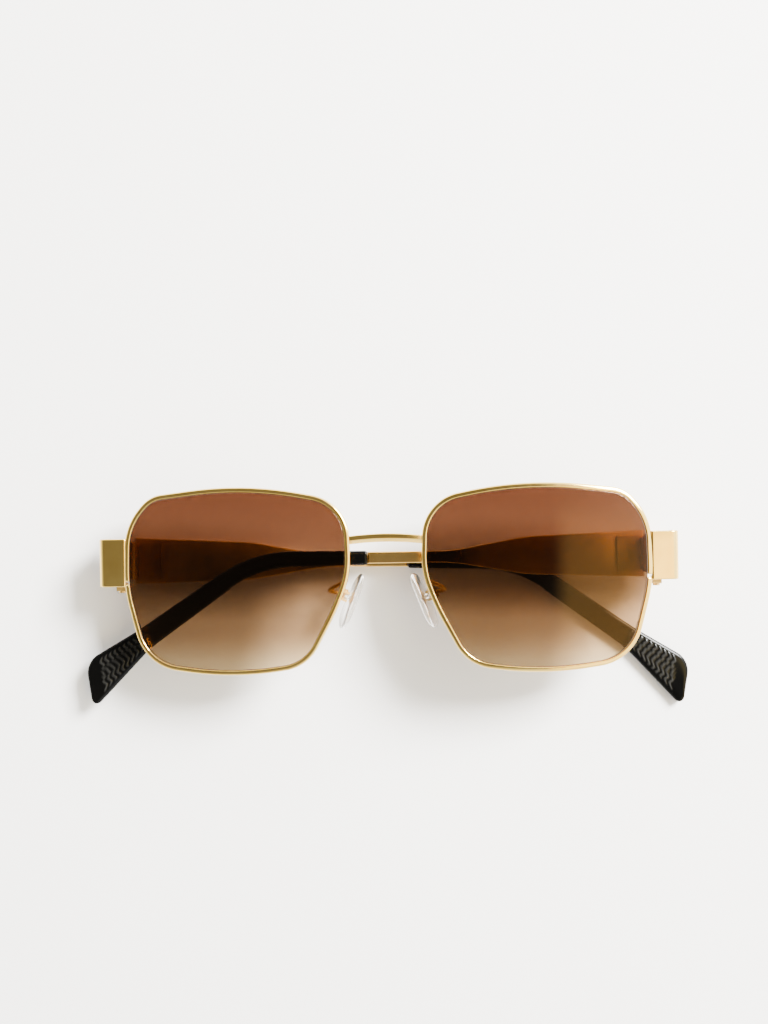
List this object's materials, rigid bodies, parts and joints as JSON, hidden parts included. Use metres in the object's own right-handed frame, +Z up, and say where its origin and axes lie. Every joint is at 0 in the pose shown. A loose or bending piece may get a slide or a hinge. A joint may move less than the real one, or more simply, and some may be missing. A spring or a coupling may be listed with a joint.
{
  "type": "sunglasses",
  "caption": "Folding metal sunglasses with wide squared lenses, brown gradient tint, broad gold temples and black ear tips, folded flat.",
  "frame": {"origin": "on the flat outer face of the right temple's bar, below the middle of the front", "axes": "+X to the wearer's left along the folded temples, +Y to the top of the lenses, +Z up from the table, out of the front of the lenses"},
  "size_m": [0.1522, 0.0559, 0.023],
  "materials": {
    "temple_right": "plated, polished",
    "temple_tip_right": "glossy black",
    "temple_hinge_right": "plated, satin",
    "rim_left": "plated, polished",
    "rim_right": "plated, polished",
    "lens_left": "brown gradient tint, polished",
    "lens_right": "brown gradient tint, polished",
    "bridge": "plated, polished",
    "endpiece_left": "plated, polished",
    "endpiece_right": "plated, polished",
    "closing_block_upper_left": "plated, satin",
    "closing_block_upper_right": "plated, satin",
    "closing_block_lower_left": "plated, satin",
    "closing_block_lower_right": "plated, satin",
    "rim_screws": "plated, turned",
    "front_hinge_left": "plated, satin",
    "front_hinge_right": "plated, satin",
    "hinge_screws": "plated, turned",
    "pad_arm_left": "plated, polished",
    "pad_arm_right": "plated, polished",
    "pad_box_left": "plated, satin",
    "pad_box_right": "plated, satin",
    "pad_screws": "plated, turned",
    "temple_left": "plated, polished",
    "temple_tip_left": "glossy black",
    "temple_hinge_left": "plated, satin",
    "nose_pad_right": "clear, polished",
    "nose_pad_left": "clear, polished"
  },
  "bodies": {
    "right_temple": {"temple_right": "temple_right", "temple_tip_right": "temple_tip_right", "temple_hinge_right": "temple_hinge_right"},
    "front": {"rim_left": "rim_left", "rim_right": "rim_right", "lens_left": "lens_left", "lens_right": "lens_right", "bridge": "bridge", "endpiece_left": "endpiece_left", "endpiece_right": "endpiece_right", "closing_block_upper_left": "closing_block_upper_left", "closing_block_upper_right": "closing_block_upper_right", "closing_block_lower_left": "closing_block_lower_left", "closing_block_lower_right": "closing_block_lower_right", "rim_screws": "rim_screws", "front_hinge_left": "front_hinge_left", "front_hinge_right": "front_hinge_right", "hinge_screws": "hinge_screws", "pad_arm_left": "pad_arm_left", "pad_arm_right": "pad_arm_right", "pad_box_left": "pad_box_left", "pad_box_right": "pad_box_right", "pad_screws": "pad_screws"},
    "left_temple": {"temple_left": "temple_left", "temple_tip_left": "temple_tip_left", "temple_hinge_left": "temple_hinge_left"},
    "right_pad": {"nose_pad_right": "nose_pad_right"},
    "left_pad": {"nose_pad_left": "nose_pad_left"}
  },
  "joints": [
    {"name": "right_temple_hinge", "type": "hinge", "parent": "right_temple", "child": "front", "pos_m": [-0.06452, 0.00101, 0.006], "axis": [-0.0157, -0.9999, 0], "range_deg": [0, 90]},
    {"name": "left_temple_hinge", "type": "hinge", "parent": "front", "child": "left_temple", "pos_m": [0.06523, 0.00101, 0.0095], "axis": [0, -1, 0.0004], "range_deg": [0, 93]},
    {"name": "right_pad_rock", "type": "hinge", "parent": "front", "child": "right_pad", "pos_m": [-0.01064, -0.00799, 0.01106], "axis": [-0.3906, -0.9205, -0.0101], "range_deg": [-10, 10]},
    {"name": "left_pad_rock", "type": "hinge", "parent": "front", "child": "left_pad", "pos_m": [0.01115, -0.00798, 0.01165], "axis": [0.3906, -0.9205, 0.0109], "range_deg": [-10, 10]}
  ]
}
